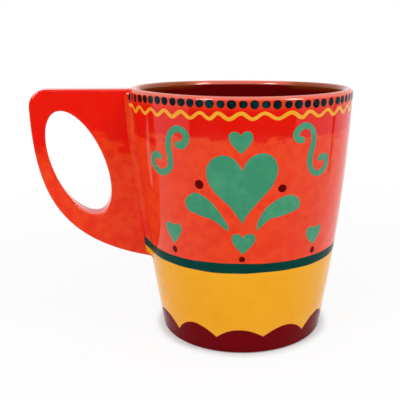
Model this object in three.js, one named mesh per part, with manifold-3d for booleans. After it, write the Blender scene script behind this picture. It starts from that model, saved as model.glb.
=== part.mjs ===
// Hand-painted stoneware mug with a flat slab handle. Millimetres, +Z up, handle towards -X.
import * as THREE from "three";
import { mergeVertices } from "three/addons/utils/BufferGeometryUtils.js";
import Module from "manifold-3d";

const wasm = await Module();
wasm.setup();

// Cup, measured over the glaze
const HEIGHT = 108;
const RIM_RADIUS = 47.2;
const BASE_RADIUS = 36.3;
const WALL_BULGE = 1.95;
const WALL = 4;
const FLOOR = 6.5;
const INSIDE_CORNER = 10;
const BASE_EDGE = 1;
const FOOT_WIDTH = 5;
const FOOT_RECESS = 1.5;

// Glaze coats
const COAT = 0.4;
const BOND = 0.1;
const COAT_JOINT = 0.1;
const BARE_FOOT = 0.4;
const LINE_RISE = 2.8;
const LINE_WIDTH = 4;
const SCALLOPS = 12;
const SCALLOP_CUSP = 7.2;
const SCALLOP_RISE = 4.8;

// Slab handle, its finger hole and its slip joint
const HANDLE_REACH = 41;
const HANDLE_THICKNESS = 9.5;
const HANDLE_EDGE = 2.2;
const HANDLE_CORNER = 7;
const TOP_DROP = 0.3;
const UNDERSIDE_SLOPE = THREE.MathUtils.degToRad(14);
const SWEEP_DOWN = 35;
const SWEEP_IN = 40;
const HOLE_LENGTH = 45.9;
const HOLE_WIDTH = 20.6;
const HOLE_LEAN = THREE.MathUtils.degToRad(20);
const STRAP = 5.5;
const TOP_BAR = 8.6;
const LOWER_ROOT = 20.6;
const SLIP_SEAM = 0.4;
const SLIP_FILLET = 2.5;
const SEAT = 0.1;

// Fineness of the faceted solids
const SIDES = 60;
const SCALLOP_STEPS = 8;
const ROW_PITCH = 18;
const ARC_STEPS = 5;
const OUTLINE_STEPS = 14;
const EDGE_STEPS = 3;

const RED = { color: 0xdc3a22, roughness: 0.12 };
const MAROON = { color: 0x6d0a10, roughness: 0.14 };
const YELLOW = { color: 0xeda325, roughness: 0.14 };
const GREEN = { color: 0x0a4644, roughness: 0.14 };
const CLAY = { color: 0xc9a283, roughness: 0.85 };

const OUTERMOST = RIM_RADIUS + HANDLE_REACH;
const RIM_ROUND = WALL / 2;
const WALL_TOP = HEIGHT - RIM_ROUND;
const RIM_CENTRE = wallRadius(WALL_TOP) - RIM_ROUND;
const CORNER_TOP = FLOOR + INSIDE_CORNER;

// The handle hangs from the rim by its hole, and the waist line starts from its lower root.
const HOLE_HALF_REACH = Math.hypot(HOLE_LENGTH * Math.sin(HOLE_LEAN), HOLE_WIDTH * Math.cos(HOLE_LEAN)) / 2;
const HOLE_HALF_HEIGHT = Math.hypot(HOLE_LENGTH * Math.cos(HOLE_LEAN), HOLE_WIDTH * Math.sin(HOLE_LEAN)) / 2;
const HOLE_REACH = OUTERMOST - STRAP - HOLE_HALF_REACH;
const HOLE_HEIGHT = HEIGHT - TOP_BAR - HOLE_HALF_HEIGHT;
const UNDERSIDE_HEIGHT = HOLE_HEIGHT - HOLE_HALF_HEIGHT - LOWER_ROOT;
const LINE_HEIGHT = UNDERSIDE_HEIGHT + LINE_RISE;

// Profiles of the turned forms, as points of radius and height

function wallRadius(z) {
  const t = z / HEIGHT;
  return BASE_RADIUS + (RIM_RADIUS - BASE_RADIUS) * t + 4 * WALL_BULGE * t * (1 - t);
}

function outerRadius(z) {
  if (z >= BASE_EDGE) return wallRadius(z);
  const below = BASE_EDGE - z;
  return wallRadius(BASE_EDGE) - BASE_EDGE + Math.sqrt(BASE_EDGE ** 2 - below ** 2);
}

function levels(low, high) {
  const rows = [low];
  for (let z = ROW_PITCH * (Math.floor(low / ROW_PITCH) + 1); z < high; z += ROW_PITCH) rows.push(z);
  return [...rows, high];
}

function outsideWall(low, high, depth) {
  return levels(low, high).map((z) => new THREE.Vector2(outerRadius(z) - depth, z));
}

function insideWall(low, high, depth) {
  return levels(low, high).map((z) => new THREE.Vector2(wallRadius(z) - WALL + depth, z));
}

function spread(from, to, steps) {
  return Array.from({ length: steps + 1 }, (_, i) => from + ((to - from) * i) / steps);
}

function arc(radius, height, size, from, to) {
  return spread(from, to, ARC_STEPS).map((a) => (
    new THREE.Vector2(radius + size * Math.cos(a), height + size * Math.sin(a))
  ));
}

// The rim runs over the top from the outside to the inside, without its two end points.
function rimArc(depth) {
  return arc(RIM_CENTRE, WALL_TOP, RIM_ROUND - depth, 0, Math.PI).slice(1, -1);
}

function insideFloor(depth) {
  const centre = wallRadius(CORNER_TOP) - WALL - INSIDE_CORNER;
  const bend = arc(centre, CORNER_TOP, INSIDE_CORNER + depth, 0, -Math.PI / 2).slice(1);
  return [...bend, new THREE.Vector2(0, FLOOR - depth)];
}

// Conversions between geometries and solids

function closed(geometry) {
  const bare = new THREE.BufferGeometry();
  bare.setAttribute("position", geometry.getAttribute("position"));
  if (geometry.index) bare.setIndex(geometry.index);
  const merged = mergeVertices(bare);
  const corners = merged.index.array;
  const kept = [];
  for (let i = 0; i < corners.length; i += 3) {
    const [a, b, c] = corners.slice(i, i + 3);
    if (a !== b && b !== c && c !== a) kept.push(a, b, c);
  }
  merged.setIndex(kept);
  return merged;
}

function solid(geometry) {
  const merged = closed(geometry);
  return new wasm.Manifold(new wasm.Mesh({
    numProp: 3,
    vertProperties: new Float32Array(merged.getAttribute("position").array),
    triVerts: new Uint32Array(merged.index.array),
  }));
}

function surface(body) {
  const mesh = body.getMesh();
  const geometry = new THREE.BufferGeometry();
  geometry.setAttribute("position", new THREE.BufferAttribute(mesh.vertProperties, mesh.numProp));
  geometry.setIndex(new THREE.BufferAttribute(mesh.triVerts, 1));
  return geometry;
}

function turned(profile) {
  return closed(new THREE.LatheGeometry(profile, SIDES).rotateX(Math.PI / 2));
}

// Joins a row of loops of equal length into a skin; each loop closes on itself.
function skinIndex(rows, length, wrap) {
  const index = [];
  for (let i = 0; i < (wrap ? rows : rows - 1); i += 1) {
    const here = i * length;
    const next = ((i + 1) % rows) * length;
    for (let j = 0; j < length; j += 1) {
      const k = (j + 1) % length;
      index.push(here + j, next + j, next + k, here + j, next + k, here + k);
    }
  }
  return index;
}

function indexed(points, index) {
  const geometry = new THREE.BufferGeometry().setFromPoints(points);
  geometry.setIndex(index);
  return geometry;
}

// Cup and coats

function cupBody() {
  const depth = COAT + BOND;
  const footOuter = outerRadius(0) - depth;
  const footInner = footOuter - FOOT_WIDTH;
  return turned([
    new THREE.Vector2(0, FOOT_RECESS),
    new THREE.Vector2(footInner - FOOT_RECESS, FOOT_RECESS),
    new THREE.Vector2(footInner, 0),
    new THREE.Vector2(footOuter, 0),
    new THREE.Vector2(outerRadius(BASE_EDGE / 3) - depth, BASE_EDGE / 3),
    ...outsideWall(BASE_EDGE, WALL_TOP, depth),
    ...rimArc(depth),
    ...insideWall(CORNER_TOP, WALL_TOP, depth).reverse(),
    ...insideFloor(depth),
  ]);
}

function linerGlaze() {
  const top = WALL_TOP - COAT_JOINT;
  return turned([
    ...insideFloor(COAT).reverse(),
    ...insideWall(CORNER_TOP, top, COAT),
    ...insideWall(CORNER_TOP, top, 0).reverse(),
    ...insideFloor(0),
  ]);
}

function redCoat() {
  const low = LINE_HEIGHT + LINE_WIDTH + COAT_JOINT;
  const inside = wallRadius(WALL_TOP) - WALL;
  const loop = [
    ...outsideWall(low, WALL_TOP, 0),
    ...rimArc(0),
    new THREE.Vector2(inside, WALL_TOP),
    new THREE.Vector2(inside + COAT, WALL_TOP),
    ...rimArc(COAT).reverse(),
    ...outsideWall(low, WALL_TOP, COAT).reverse(),
  ];
  return turned([...loop, loop[0]]);
}

function scallopEdge(angle) {
  const across = (angle * SCALLOPS) / (2 * Math.PI);
  const u = 2 * (across - Math.floor(across)) - 1;
  return SCALLOP_CUSP + SCALLOP_RISE * (1 - u * u);
}

// A coat with a scalloped edge, from the heights of its rows at each angle.
function scallopedCoat(rowsAt) {
  const columns = SCALLOPS * SCALLOP_STEPS;
  const sections = Array.from({ length: columns }, (_, i) => {
    const angle = (2 * Math.PI * i) / columns;
    const rows = rowsAt(angle);
    const outside = rows.map((z) => [outerRadius(z), z]);
    const inside = rows.map((z) => [outerRadius(z) - COAT, z]).reverse();
    return [...outside, ...inside].map(([r, z]) => (
      new THREE.Vector3(r * Math.cos(angle), r * Math.sin(angle), z)
    ));
  });
  return indexed(sections.flat(), skinIndex(columns, sections[0].length, true));
}

function greenLine() {
  const high = LINE_HEIGHT + LINE_WIDTH;
  const loop = [
    ...outsideWall(LINE_HEIGHT, high, 0),
    ...outsideWall(LINE_HEIGHT, high, COAT).reverse(),
  ];
  return turned([...loop, loop[0]]);
}

function yellowCoat() {
  const high = LINE_HEIGHT - COAT_JOINT;
  return scallopedCoat((angle) => {
    const low = scallopEdge(angle) + COAT_JOINT;
    return [low, (low + high) / 2, high];
  });
}

function maroonHem() {
  const bend = (BARE_FOOT + BASE_EDGE) / 2;
  return scallopedCoat((angle) => [BARE_FOOT, bend, BASE_EDGE, scallopEdge(angle)]);
}

// Handle: the slab's outline lies in a plane of reach from the cup's axis and height.

function slabOutline() {
  const root = wallRadius(UNDERSIDE_HEIGHT);
  const inward = BASE_RADIUS / 2;
  const drop = Math.tan(UNDERSIDE_SLOPE) * (root - inward);
  const shoulder = HEIGHT - HANDLE_CORNER;
  const outline = new THREE.Shape();
  outline.moveTo(inward, UNDERSIDE_HEIGHT - drop);
  outline.lineTo(root, UNDERSIDE_HEIGHT);
  outline.bezierCurveTo(
    root + SWEEP_IN * Math.cos(UNDERSIDE_SLOPE),
    UNDERSIDE_HEIGHT + SWEEP_IN * Math.sin(UNDERSIDE_SLOPE),
    OUTERMOST,
    shoulder - SWEEP_DOWN,
    OUTERMOST,
    shoulder,
  );
  outline.absarc(OUTERMOST - HANDLE_CORNER, shoulder, HANDLE_CORNER, 0, Math.PI / 2, false);
  outline.lineTo(RIM_RADIUS, HEIGHT - TOP_DROP);
  outline.lineTo(inward, HEIGHT - TOP_DROP);
  return outline;
}

function fingerHole() {
  const tilt = Math.PI / 2 - HOLE_LEAN;
  const hole = new THREE.Path();
  hole.absellipse(HOLE_REACH, HOLE_HEIGHT, HOLE_LENGTH / 2, HOLE_WIDTH / 2, 0, 2 * Math.PI, true, tilt);
  return hole;
}

// The slab with rounded edges, grown on every side by a clearance.
function slab(clearance) {
  const outline = slabOutline();
  outline.holes.push(fingerHole());
  const flat = HANDLE_THICKNESS - 2 * HANDLE_EDGE;
  const geometry = new THREE.ExtrudeGeometry(outline, {
    depth: flat,
    curveSegments: OUTLINE_STEPS,
    bevelThickness: HANDLE_EDGE + clearance,
    bevelSize: HANDLE_EDGE,
    bevelOffset: clearance - HANDLE_EDGE,
    bevelSegments: EDGE_STEPS,
  });
  geometry.translate(0, 0, -flat / 2);
  const upright = new THREE.Matrix4().makeBasis(
    new THREE.Vector3(-1, 0, 0),
    new THREE.Vector3(0, 0, 1),
    new THREE.Vector3(0, 1, 0),
  );
  return solid(geometry.applyMatrix4(upright));
}

// The clay wall grown outwards, without its hollow, and carried up inside the rim.
function wallCore(growth) {
  const depth = COAT + BOND - growth;
  return solid(turned([
    new THREE.Vector2(0, 0),
    new THREE.Vector2(outerRadius(0) - depth, 0),
    ...outsideWall(BASE_EDGE, WALL_TOP, depth),
    ...arc(RIM_CENTRE, WALL_TOP, RIM_ROUND - depth, 0, Math.PI / 2).slice(1),
    new THREE.Vector2(RIM_CENTRE, HEIGHT + WALL),
    new THREE.Vector2(0, HEIGHT + WALL),
  ]));
}

// Half of the slab's section at the wall: corner, side and corner, grown by a flare.
function rootSide(flare, clearance) {
  const side = HANDLE_THICKNESS / 2 + flare + clearance;
  const low = UNDERSIDE_HEIGHT - flare - clearance;
  const high = HEIGHT - TOP_DROP + clearance;
  const round = HANDLE_EDGE + flare;
  const lower = arc(side - round, low + round, round, -Math.PI / 2, 0);
  const upper = arc(side - round, high - round, round, 0, Math.PI / 2);
  const steps = Math.ceil((HEIGHT - UNDERSIDE_HEIGHT) / ROW_PITCH);
  const between = spread(low + round, high - round, steps).slice(1, -1);
  return [...lower, ...between.map((z) => new THREE.Vector2(side, z)), ...upper];
}

// A block that flares from the slab's faces to the wall in a hollow fillet.
function filletPad(clearance) {
  const steps = spread(0, Math.PI / 2, ARC_STEPS).map((a) => ({
    away: SLIP_FILLET * (1 - Math.cos(a)),
    flare: SLIP_FILLET * (1 - Math.sin(a)),
  }));
  const loops = [{ away: -WALL, flare: SLIP_FILLET }, ...steps].map(({ away, flare }) => {
    const half = rootSide(flare, clearance);
    const other = half.map((p) => new THREE.Vector2(-p.x, p.y)).reverse();
    return [...half, ...other].map(({ x: across, y: z }) => (
      new THREE.Vector3(-away - Math.sqrt(wallRadius(z) ** 2 - across ** 2), across, z)
    ));
  });
  const length = loops[0].length;
  const last = (loops.length - 1) * length;
  const index = skinIndex(loops.length, length, false);
  const cap = THREE.ShapeUtils.triangulateShape(loops[0].map((p) => new THREE.Vector2(p.y, p.z)), []);
  for (const [a, b, c] of cap) index.push(a, b, c, last + c, last + b, last + a);
  return solid(indexed(loops.flat(), index));
}

function piece(name, geometry, finish) {
  const mesh = new THREE.Mesh(geometry, new THREE.MeshStandardMaterial({ ...finish, metalness: 0 }));
  mesh.name = name;
  return mesh;
}

const handle = slab(0).subtract(wallCore(SLIP_SEAM));
const seated = slab(SEAT).subtract(wallCore(SLIP_SEAM - SEAT));
const slip = filletPad(0).subtract(wallCore(BOND)).subtract(seated);
const opening = filletPad(BOND).add(slab(SEAT));

function openedCoat(geometry) {
  return surface(solid(geometry).subtract(opening));
}

const mug = new THREE.Group();
mug.position.x = HANDLE_REACH / 2;
mug.add(
  piece("cup_body", cupBody(), CLAY),
  piece("handle", surface(handle), RED),
  piece("luting_slip", surface(slip), RED),
  piece("liner_glaze", linerGlaze(), MAROON),
  piece("red_glaze_coat", openedCoat(redCoat()), RED),
  piece("green_waist_line", openedCoat(greenLine()), GREEN),
  piece("yellow_glaze_coat", openedCoat(yellowCoat()), YELLOW),
  piece("maroon_scallop_coat", maroonHem(), MAROON),
);

export default mug;
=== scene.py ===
"""Looks of a hand-painted stoneware mug with a slab handle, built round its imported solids.

Sizes are in millimetres about the cup's own axis until a piece is settled, which puts it in the
frame's place and in metres. A turn is an angle about the axis, from the front (-Y) towards +X.
"""

import functools
import logging
import math
from collections.abc import Callable, Sequence
from dataclasses import dataclass
from enum import Enum

import bmesh
import bpy
from bmesh.types import BMesh, BMVert
from mathutils import Matrix, Vector
from mathutils.geometry import interpolate_bezier


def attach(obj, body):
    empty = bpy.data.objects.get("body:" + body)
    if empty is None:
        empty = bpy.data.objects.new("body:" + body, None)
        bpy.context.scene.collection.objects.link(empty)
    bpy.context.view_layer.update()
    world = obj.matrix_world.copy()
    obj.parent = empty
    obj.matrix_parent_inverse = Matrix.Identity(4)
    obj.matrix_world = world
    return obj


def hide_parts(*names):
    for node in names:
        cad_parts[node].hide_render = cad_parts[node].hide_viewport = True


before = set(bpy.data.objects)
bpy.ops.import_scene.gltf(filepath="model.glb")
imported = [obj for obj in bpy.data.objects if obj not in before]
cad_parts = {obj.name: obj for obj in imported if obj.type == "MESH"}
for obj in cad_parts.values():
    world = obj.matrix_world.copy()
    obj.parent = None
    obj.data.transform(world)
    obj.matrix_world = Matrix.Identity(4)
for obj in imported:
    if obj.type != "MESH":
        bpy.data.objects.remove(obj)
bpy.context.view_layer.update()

log = logging.getLogger("mug")

Triple = tuple[float, float, float]
Colour = Triple
Point = tuple[float, float]
Spot = tuple[float, float, float, float]
Edge = Callable[[float], float]
Socket = bpy.types.NodeSocket

MM = 0.001
FULL_TURN = 2 * math.pi
QUARTER_TURN = math.pi / 2
MERGE = 1e-4
CAMERA_TURN = math.radians(-14)
WAIST_LINE: Point = (38.0, 42.1)


class Slot(Enum):
    """Finish slots."""

    CLAY = "bare_clay"
    RED = "red_glaze"
    MAROON = "maroon_glaze"
    GREEN = "green_glaze"
    YELLOW = "yellow_glaze"


class Node(Enum):
    """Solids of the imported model."""

    CUP = "cup_body"
    HANDLE = "handle"
    SLIP = "luting_slip"
    LINER = "liner_glaze"
    RED = "red_glaze_coat"
    LINE = "green_waist_line"
    YELLOW = "yellow_glaze_coat"
    HEM = "maroon_scallop_coat"


def spread(low: float, high: float, spans: int) -> list[float]:
    """Evenly spaced numbers, both ends included."""
    return [low + (high - low) * i / spans for i in range(spans + 1)]


def ease(value: float, low: float, high: float) -> float:
    """A smooth step from 0 at the low end to 1 at the high end."""
    t = min(max((value - low) / (high - low), 0.0), 1.0)
    return t * t * (3 - 2 * t)


def arc(centre: Point, size: float, start: float, end: float, spans: int) -> list[Point]:
    """Points on a part of a circle between two angles, ends included."""
    x, y = centre
    return [(x + size * math.cos(a), y + size * math.sin(a)) for a in spread(start, end, spans)]


def smooth_path(points: Sequence[Point], fine: int) -> list[Point]:
    """A smooth open line through points.

    Args:
        points: What the line passes through.
        fine: Spans between two points.

    Returns:
        Points along the line, ends included.
    """
    knots = [Vector(p) for p in points]
    knots = [2 * knots[0] - knots[1], *knots, 2 * knots[-1] - knots[-2]]
    line = []
    for before, here, there, after in zip(knots, knots[1:], knots[2:], knots[3:]):
        span = (there - here).length
        lean_in = (there - before).normalized() * span / 3
        lean_out = (after - here).normalized() * span / 3
        line += interpolate_bezier(here, here + lean_in, there - lean_out, there, fine + 1)[:-1]
    return [tuple(p) for p in line] + [tuple(points[-1])]


@dataclass(frozen=True)
class CupForm:
    """Turned form of the cup over its glaze, and what hand work did to it."""

    height: float = 108.0
    rim_radius: float = 47.2
    base_radius: float = 36.3
    wall_bulge: float = 1.95
    wall: float = 4.0
    floor: float = 6.5
    floor_spans: int = 4
    inside_corner: float = 10.0
    base_edge: float = 1.0
    foot_width: float = 5.0
    foot_recess: float = 1.5
    axis_x: float = 20.5
    rim_dip: float = 0.24
    rim_tilt: float = 0.17
    dip_from: float = 105.4
    pull: float = 1.6
    pull_from: float = 30.0
    pull_power: int = 14

    @property
    def rim_round(self) -> float:
        """Radius of the rounded rim."""
        return self.wall / 2

    @property
    def wall_top(self) -> float:
        """Height where the wall turns into the rim."""
        return self.height - self.rim_round

    @property
    def corner_top(self) -> float:
        """Height where the inside corner turns into the wall."""
        return self.floor + self.inside_corner

    def wall_terms(self) -> Triple:
        """Terms of the wall's radius: at the table, per height and per height squared."""
        rise = self.rim_radius - self.base_radius + 4 * self.wall_bulge
        return self.base_radius, rise / self.height, -4 * self.wall_bulge / self.height**2

    def wall_radius(self, z: float) -> float:
        """Outside radius of the wall at a height, without the rounded base edge."""
        base, slope, bend = self.wall_terms()
        return base + slope * z + bend * z * z

    def outer_radius(self, z: float) -> float:
        """Outside radius of the wall, with its rounded base edge.

        Args:
            z: Height.

        Returns:
            The radius.
        """
        if z >= self.base_edge:
            return self.wall_radius(z)
        below = min(self.base_edge - z, self.base_edge)
        inset = self.base_edge - math.sqrt(self.base_edge**2 - below**2)
        return self.wall_radius(self.base_edge) - inset

    def by_hand(self, turn: float, z: float) -> Point:
        """How the rim sags and the wall is drawn towards the handle.

        Args:
            turn: Angle from the front.
            z: Height.

        Returns:
            How far a point moved outwards and down.
        """
        view = turn - CAMERA_TURN
        dip = self.rim_dip * (1 + math.cos(2 * view)) + self.rim_tilt * math.cos(view)
        drawn = self.pull * max(0.0, -math.sin(turn)) ** self.pull_power
        drawn *= ease(z, self.pull_from, self.wall_top)
        return drawn, dip * ease(z, self.dip_from, self.height)

    def on_wall(self, turn: float, z: float, lift: float) -> Vector:
        """A point on the outside.

        Args:
            turn: Angle from the front.
            z: Height.
            lift: Distance off the wall.

        Returns:
            The point.
        """
        out, down = self.by_hand(turn, z)
        radius = self.outer_radius(z) + lift + out
        return Vector((radius * math.sin(turn), -radius * math.cos(turn), z - down))

    def rim_arc(self, depth: float, spans: int) -> list[Point]:
        """Radius and height over the rim, from the outside in, at a depth below its glaze."""
        centre = (self.wall_radius(self.wall_top) - self.rim_round, self.wall_top)
        return arc(centre, self.rim_round - depth, 0, math.pi, spans)

    def inside(self, low: float, high: float, depth: float, rows: int) -> list[Point]:
        """Radius and height up the inside wall, at a depth below its glaze."""
        return [(self.wall_radius(z) - self.wall + depth, z) for z in spread(low, high, rows)]

    def inside_floor(self, depth: float, spans: int) -> list[Point]:
        """Radius and height over the inside floor, from the middle to the wall.

        Args:
            depth: Distance below the glaze's surface.
            spans: Number of spans in the corner.

        Returns:
            The points.
        """
        reach = self.wall_radius(self.corner_top) - self.wall - self.inside_corner
        flat = [(r, self.floor - depth) for r in spread(0, reach, self.floor_spans)[:-1]]
        corner = (reach, self.corner_top)
        return flat + arc(corner, self.inside_corner + depth, -QUARTER_TURN, 0, spans)


CUP = CupForm()


class Nodes:
    """The nodes of a material or a world, and the short hand to lay them out."""

    def __init__(self, owner: bpy.types.Material | bpy.types.World, end: str) -> None:
        """Opens the nodes.

        Args:
            owner: Whose nodes they are.
            end: Name of the node that they end in.
        """
        owner.use_nodes = True
        self.tree = owner.node_tree
        self.end = self.tree.nodes[end].inputs["Surface"]

    def add(self, kind: str, **settings: object) -> bpy.types.Node:
        """Adds a node and sets its properties.

        Args:
            kind: The node's type.
            settings: Properties of the node.

        Returns:
            The new node.
        """
        node = self.tree.nodes.new(kind)
        for key, value in settings.items():
            setattr(node, key, value)
        return node

    def feed(self, target: Socket, given: Socket | float | Sequence[float]) -> None:
        """Joins an output to an input, or sets the input.

        Args:
            target: The input.
            given: An output, or the value to set.
        """
        if isinstance(given, Socket):
            self.tree.links.new(given, target)
        else:
            target.default_value = given

    def maths(self, operation: str, *values: Socket | float) -> Socket:
        """One sum.

        Args:
            operation: The Math node's operation.
            values: Sockets or numbers that it takes.

        Returns:
            The result.
        """
        node = self.add("ShaderNodeMath", operation=operation)
        for target, given in zip(node.inputs, values):
            self.feed(target, given)
        return node.outputs[0]

    def surface(self, shader: bpy.types.Node) -> None:
        """Makes a shader the surface."""
        self.feed(self.end, shader.outputs[0])

    def cover(self, share: Socket, first: bpy.types.Node, second: bpy.types.Node) -> None:
        """Makes a mix of two shaders the surface.

        Args:
            share: Share of the second shader.
            first: A shader.
            second: A shader.
        """
        mix = self.add("ShaderNodeMixShader")
        for target, given in zip(mix.inputs, (share, first.outputs[0], second.outputs[0])):
            self.feed(target, given)
        self.surface(mix)

    def seen(self) -> Socket:
        """Whether a ray comes from the camera or a reflection.

        Returns:
            1 for such rays and 0 for the light that falls on things.
        """
        path = self.add("ShaderNodeLightPath").outputs
        most = path["Is Camera Ray"]
        for name in ("Is Glossy Ray", "Is Transmission Ray"):
            most = self.maths("MAXIMUM", most, path[name])
        return most


class Desk(Nodes):
    """The nodes of one material, with patterns about the cup."""

    def __init__(self, name: str) -> None:
        """Starts a material.

        Args:
            name: Its name.
        """
        self.material = bpy.data.materials.new(name)
        super().__init__(self.material, "Material Output")
        self.shader = self.tree.nodes["Principled BSDF"]
        self.place = self.add("ShaderNodeTexCoord").outputs["Object"]

    def paint(self, key: str, given: Socket | float | Sequence[float]) -> None:
        """Feeds an input of the shader."""
        self.feed(self.shader.inputs[key], given)

    def matte(self, roughness: float) -> None:
        """Makes the shader rough, without a gloss."""
        self.paint("Roughness", roughness)
        self.paint("Specular IOR Level", 0.0)

    @functools.cached_property
    def axes(self) -> tuple[Socket, Socket, Socket]:
        """Where a point lies about the cup.

        Returns:
            X and Y from the cup's axis and the height, in metres.
        """
        node = self.add("ShaderNodeSeparateXYZ")
        self.feed(node.inputs["Vector"], self.place)
        x = self.maths("SUBTRACT", node.outputs["X"], CUP.axis_x * MM)
        return x, node.outputs["Y"], node.outputs["Z"]

    def from_axis(self) -> Socket:
        """Distance from the cup's axis, in metres."""
        x, y, _ = self.axes
        return self.maths("SQRT", self.maths("MULTIPLY_ADD", x, x, self.maths("MULTIPLY", y, y)))

    def towards(self, turn: float) -> Socket:
        """Distance from the cup's axis in the direction of a turn, in metres."""
        (x, y, _), sin, cos = self.axes, math.sin(turn), math.cos(turn)
        return self.maths("MULTIPLY_ADD", y, -cos, self.maths("MULTIPLY", x, sin))

    def noise(self, fine: float, detail: float = 2.0, drawn: float = 1.0) -> Socket:
        """A noise over the piece's own place.

        Args:
            fine: Features per metre.
            detail: Octaves of finer noise.
            drawn: How much longer features are round the cup than up it.

        Returns:
            The noise's value, about 0.5 on average.
        """
        flat = self.add("ShaderNodeVectorMath", operation="MULTIPLY")
        self.feed(flat.inputs[0], self.place)
        self.feed(flat.inputs[1], (1.0, 1.0, drawn))
        node = self.add("ShaderNodeTexNoise")
        for key, given in (("Vector", flat.outputs[0]), ("Scale", fine), ("Detail", detail)):
            self.feed(node.inputs[key], given)
        return node.outputs["Fac"]

    def ramp(self, value: Socket, source: Point, target: Point) -> Socket:
        """Maps a range smoothly onto another, held at its ends.

        Args:
            value: What is mapped.
            source: Low and high end of the range.
            target: What they become.

        Returns:
            The mapped value.
        """
        node = self.add("ShaderNodeMapRange", interpolation_type="SMOOTHSTEP")
        keys = ("Value", "From Min", "From Max", "To Min", "To Max")
        for key, given in zip(keys, (value, *source, *target)):
            self.feed(node.inputs[key], given)
        return node.outputs["Result"]

    def step(self, length: Socket, source: Point, target: Point = (0.0, 1.0)) -> Socket:
        """Maps a length in metres by the ends of its range in millimetres."""
        low, high = source
        return self.ramp(length, (low * MM, high * MM), target)

    def blend(self, share: Socket, first: Socket | Colour, second: Socket | Colour) -> Socket:
        """Mixes two colours.

        Args:
            share: Share of the second colour.
            first: A colour or a socket.
            second: A colour or a socket.

        Returns:
            The mixed colour.
        """
        node = self.add("ShaderNodeMix", data_type="RGBA")
        self.feed(node.inputs["Factor"], share)
        for key, given in (("A", first), ("B", second)):
            target = next(s for s in node.inputs if s.name == key and s.type == "RGBA")
            self.feed(target, given if isinstance(given, Socket) else (*given, 1.0))
        return next(s for s in node.outputs if s.type == "RGBA")

    def bump(self, height: Socket, depth: float, below: Socket | None = None) -> Socket:
        """Roughens the surface.

        Args:
            height: Height between 0 and 1.
            depth: What a height of 1 stands for, in metres.
            below: Normal of an earlier bump that this one lies on.

        Returns:
            The bumped normal.
        """
        node = self.add("ShaderNodeBump")
        self.feed(node.inputs["Distance"], depth)
        self.feed(node.inputs["Height"], height)
        if below is not None:
            self.feed(node.inputs["Normal"], below)
        return node.outputs["Normal"]


@dataclass(frozen=True)
class Glaze:
    """A brushed colour under a clear gloss, cloudy where the brush laid it thin."""

    name: str
    colour: Colour
    thin: Colour
    gloss: float = 0.3
    patchy: float = 0.6
    clouds: float = 45.0
    cloud_share: float = 0.6
    cloudy: Point = (0.38, 0.64)
    mottle: float = 240.0
    roughness: float = 0.05
    smears: float = 90.0
    smeared: Point = (0.35, 0.70)
    smear_most: float = 1.8
    swell: float = 0.00009
    swells: float = 48.0
    stroke: float = 0.000010
    strokes: float = 110.0
    drawn: float = 2.5
    pore: float = 0.000002
    pores: float = 900.0

    def tint(self, desk: Desk) -> Socket:
        """Colour of the coat.

        Args:
            desk: The material's desk.

        Returns:
            The colour.
        """
        cloud = desk.maths("MULTIPLY", desk.noise(self.clouds), self.cloud_share)
        mottle = desk.noise(self.mottle)
        thickness = desk.maths("MULTIPLY_ADD", mottle, 1 - self.cloud_share, cloud)
        share = desk.ramp(thickness, self.cloudy, (0.0, self.patchy))
        return desk.blend(share, self.colour, self.thin)

    def material(self) -> bpy.types.Material:
        """Lays out the nodes.

        Returns:
            The finished material.
        """
        desk = Desk(self.name)
        desk.paint("Base Color", self.tint(desk))
        desk.paint("Specular IOR Level", self.gloss)
        rough = (self.roughness, self.roughness * self.smear_most)
        desk.paint("Roughness", desk.ramp(desk.noise(self.smears), self.smeared, rough))
        swell = desk.bump(desk.noise(self.swells), self.swell)
        stroke = desk.bump(desk.noise(self.strokes, drawn=self.drawn), self.stroke, swell)
        desk.paint("Normal", desk.bump(desk.noise(self.pores), self.pore, stroke))
        return desk.material


@dataclass(frozen=True)
class TwiceGlazeAndHaze(Glaze):
    """A glaze brushed on a second time above a ragged edge, thin and more orange below it. Its deep
    red above the edge is partly painted dark reflection, and its paler colour below it is partly
    painted reflection of the bright floor.

    The edge climbs by its rise to a peak. Rags are given per metre, with their octaves.
    """

    edge: Point = (89.5, 91.5)
    rise: float = 0.0
    rise_at: float = -62.5
    rise_half: float = 16.0
    ragged: float = 14.0
    rags: Point = (42.0, 1.0)
    fine_rags: Point = (130.0, 4.0)
    mottled: Point = (0.36, 0.64)
    through: float = 0.12

    def tint(self, desk: Desk) -> Socket:
        """Colour of the two coats, with painted reflection: dark above the edge and paler below it.

        Args:
            desk: The material's desk.

        Returns:
            The colour.
        """
        x, _, level = desk.axes
        aside = desk.maths("ABSOLUTE", desk.maths("SUBTRACT", x, self.rise_at * MM))
        peak = desk.step(aside, (0.0, self.rise_half), (-self.rise * MM, 0.0))
        level = desk.maths("ADD", level, peak)
        for rag in (desk.noise(*self.rags), desk.noise(*self.fine_rags, self.drawn)):
            level = desk.maths("MULTIPLY_ADD", rag, self.ragged * MM, level)
        # Painted reflection: the deep red above this edge stands for a dark reflection, the paler
        # colour below it for the floor's bright reflection.
        low, high = self.edge
        once = desk.step(level, (low + self.ragged, high + self.ragged), (1.0, self.through))
        mottle = desk.ramp(desk.noise(self.mottle), self.mottled, (1.0 - self.patchy, 1.0))
        return desk.blend(desk.maths("MULTIPLY", once, mottle), self.colour, self.thin)


# A painted reflection: brown crescents inside the mouth, left and right of it as the camera sees
# it.
SIDE_REFLECTION_ASIDE: Point = (22.0, 32.0)
SIDE_REFLECTION_WAVER = 6.0
SIDE_REFLECTION_WAVES = 70.0


def painted_side_reflection(desk: Desk) -> Socket:
    """Share of a painted brown reflection on both sides of the mouth, as the camera sees them.

    Args:
        desk: The material's desk.

    Returns:
        0 in the middle and 1 at the sides.
    """
    across = desk.maths("ABSOLUTE", desk.towards(CAMERA_TURN + QUARTER_TURN))
    uneven = desk.maths("MULTIPLY_ADD", desk.noise(SIDE_REFLECTION_WAVES), SIDE_REFLECTION_WAVER * MM, across)
    return desk.step(uneven, SIDE_REFLECTION_ASIDE)


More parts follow.
